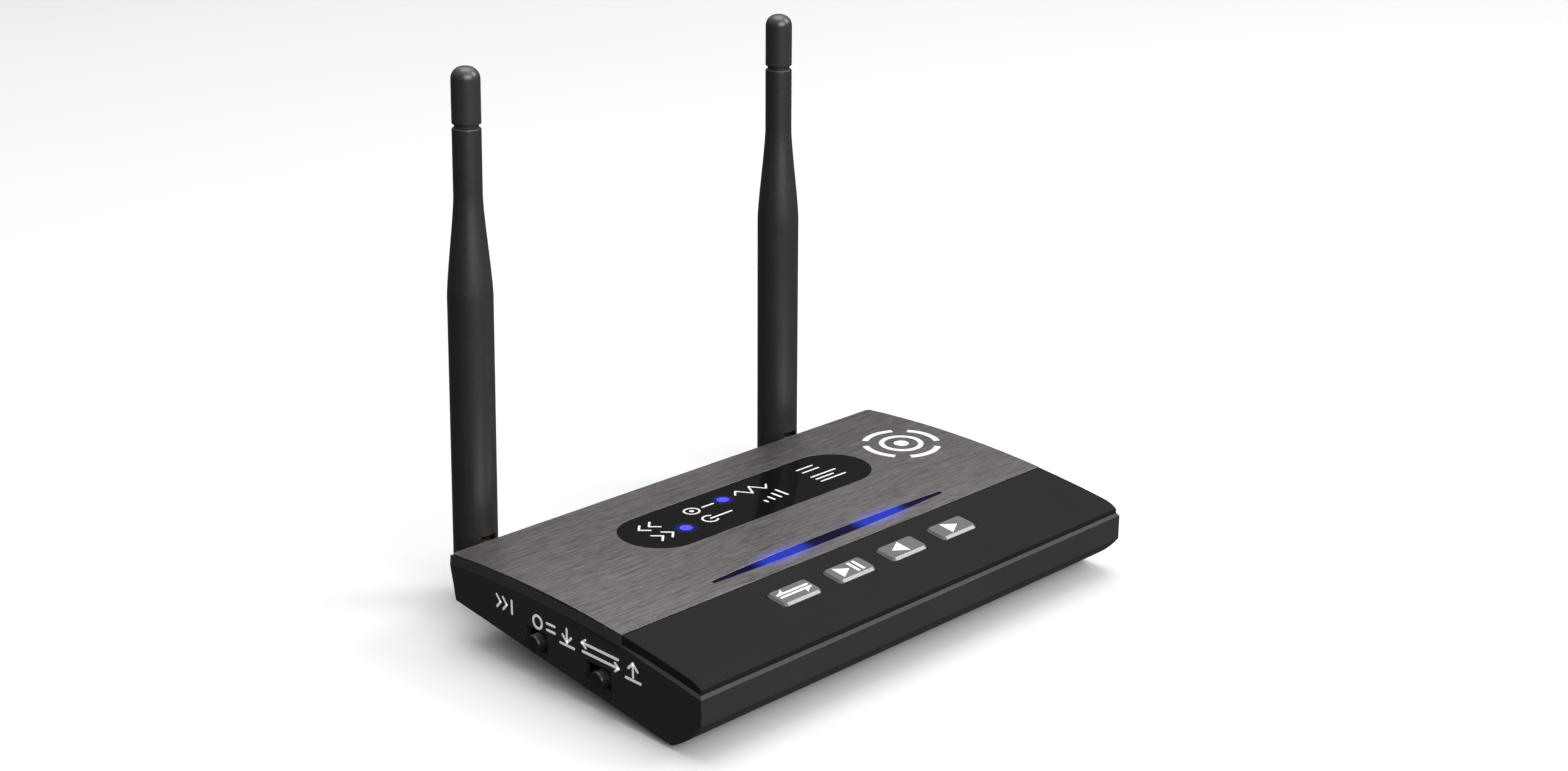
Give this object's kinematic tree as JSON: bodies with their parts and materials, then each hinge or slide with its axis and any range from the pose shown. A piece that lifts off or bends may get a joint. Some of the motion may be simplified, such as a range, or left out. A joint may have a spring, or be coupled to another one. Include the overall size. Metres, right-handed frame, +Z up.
{
  "type": "bluetooth audio receiver",
  "caption": "Flat crowned desktop box with a brushed top, lit status window and light bar, push buttons, side switches and two hinged antennas.",
  "frame": {"origin": "on the table, under the middle of the whole object's width and depth", "axes": "+X to the object's right, +Y to its back, where the antennas are, +Z up"},
  "size_m": [0.127, 0.0946, 0.1146],
  "materials": {
    "housing_plastic": "fine satin moulded texture",
    "brushed_plate": "brushed from side to side, dark anodised",
    "panel_plastic": "smooth satin",
    "window_plastic": "polished, dark tinted",
    "light_bar": "dark blue diffuser",
    "button_plastic": "satin grey with printed symbols",
    "switch_plastic": "satin black",
    "stem_plastic": "moulded",
    "antenna_rubber": "soft matt",
    "foot_rubber": "matt",
    "steel": "zinc plated",
    "gold_brass": "gold plated",
    "circuit_board": "green solder mask",
    "chip_plastic": "moulded",
    "can_aluminium": "bright",
    "lamp_plastic": "clear",
    "guide_plastic": "white",
    "copper": "bare",
    "lead_jacket": "satin"
  },
  "bodies": {
    "housing": {"bottom_shell": "housing_plastic", "top_cover": "housing_plastic", "metal_plate": "brushed_plate", "front_panel": "panel_plastic", "status_window": "window_plastic", "light_bar": "light_bar", "case_screws": "steel", "rubber_feet": "foot_rubber", "button_switches": "switch_plastic", "power_switch_case": "switch_plastic", "input_switch_case": "switch_plastic", "main_board": "circuit_board", "control_board": "circuit_board", "audio_chips": "chip_plastic", "capacitors": "can_aluminium", "crystal": "steel", "board_link": "switch_plastic", "radio_board": "circuit_board", "radio_shield": "steel", "indicator_lamps": "lamp_plastic", "bar_lamps": "lamp_plastic", "lamp_well": "guide_plastic", "touch_coil": "copper", "optical_in": "switch_plastic", "optical_out": "switch_plastic", "audio_in_jack": "switch_plastic", "audio_out_jack": "switch_plastic", "power_socket": "steel", "board_screws": "steel", "antenna_jack_left": "gold_brass", "antenna_jack_right": "gold_brass", "jack_nut_left": "gold_brass", "jack_nut_right": "gold_brass", "coupling_nut_left": "gold_brass", "coupling_nut_right": "gold_brass", "coax_lead_left": "lead_jacket", "coax_lead_right": "lead_jacket", "coax_plug_left": "gold_brass", "coax_plug_right": "gold_brass"},
    "button_mode": {"button_mode": "button_plastic", "switch_stem_mode": "stem_plastic"},
    "button_play": {"button_play": "button_plastic", "switch_stem_play": "stem_plastic"},
    "button_back": {"button_back": "button_plastic", "switch_stem_back": "stem_plastic"},
    "button_forward": {"button_forward": "button_plastic", "switch_stem_forward": "stem_plastic"},
    "power_knob": {"power_switch_knob": "switch_plastic"},
    "input_knob": {"input_switch_knob": "switch_plastic"},
    "swivel_left": {"antenna_knuckle_left": "antenna_rubber"},
    "antenna_left": {"antenna_sleeve_left": "antenna_rubber", "antenna_cap_left": "antenna_rubber", "antenna_radiator_left": "gold_brass", "hinge_pin_left": "steel"},
    "swivel_right": {"antenna_knuckle_right": "antenna_rubber"},
    "antenna_right": {"antenna_sleeve_right": "antenna_rubber", "antenna_cap_right": "antenna_rubber", "antenna_radiator_right": "gold_brass", "hinge_pin_right": "steel"}
  },
  "joints": [
    {"name": "button_mode_press", "type": "slide", "parent": "housing", "child": "button_mode", "axis": [0, 0, -1], "range_m": [0, 0.00035], "stiffness_N_per_m": 4000},
    {"name": "button_play_press", "type": "slide", "parent": "housing", "child": "button_play", "axis": [0, 0, -1], "range_m": [0, 0.00035], "stiffness_N_per_m": 4000},
    {"name": "button_back_press", "type": "slide", "parent": "housing", "child": "button_back", "axis": [0, 0, -1], "range_m": [0, 0.00035], "stiffness_N_per_m": 4000},
    {"name": "button_forward_press", "type": "slide", "parent": "housing", "child": "button_forward", "axis": [0, 0, -1], "range_m": [0, 0.00035], "stiffness_N_per_m": 4000},
    {"name": "power_slide", "type": "slide", "parent": "housing", "child": "power_knob", "axis": [0, 1, 0], "range_m": [0, 0.0025]},
    {"name": "input_slide", "type": "slide", "parent": "housing", "child": "input_knob", "axis": [0, 1, 0], "range_m": [0, 0.0036]},
    {"name": "antenna_left_swivel", "type": "hinge", "parent": "housing", "child": "swivel_left", "pos_m": [-0.0444, 0.0425, 0.01], "axis": [0, 1, 0], "range_deg": [-90, 20]},
    {"name": "antenna_left_tilt", "type": "hinge", "parent": "swivel_left", "child": "antenna_left", "pos_m": [-0.0444, 0.0425, 0.01], "axis": [0.9995, 0, -0.0314], "range_deg": [-90, 0]},
    {"name": "antenna_right_swivel", "type": "hinge", "parent": "housing", "child": "swivel_right", "pos_m": [0.0464, 0.0425, 0.01], "axis": [0, 1, 0], "range_deg": [-20, 90]},
    {"name": "antenna_right_tilt", "type": "hinge", "parent": "swivel_right", "child": "antenna_right", "pos_m": [0.0464, 0.0425, 0.01], "axis": [1, 0, -0.007], "range_deg": [-90, 0]}
  ]
}
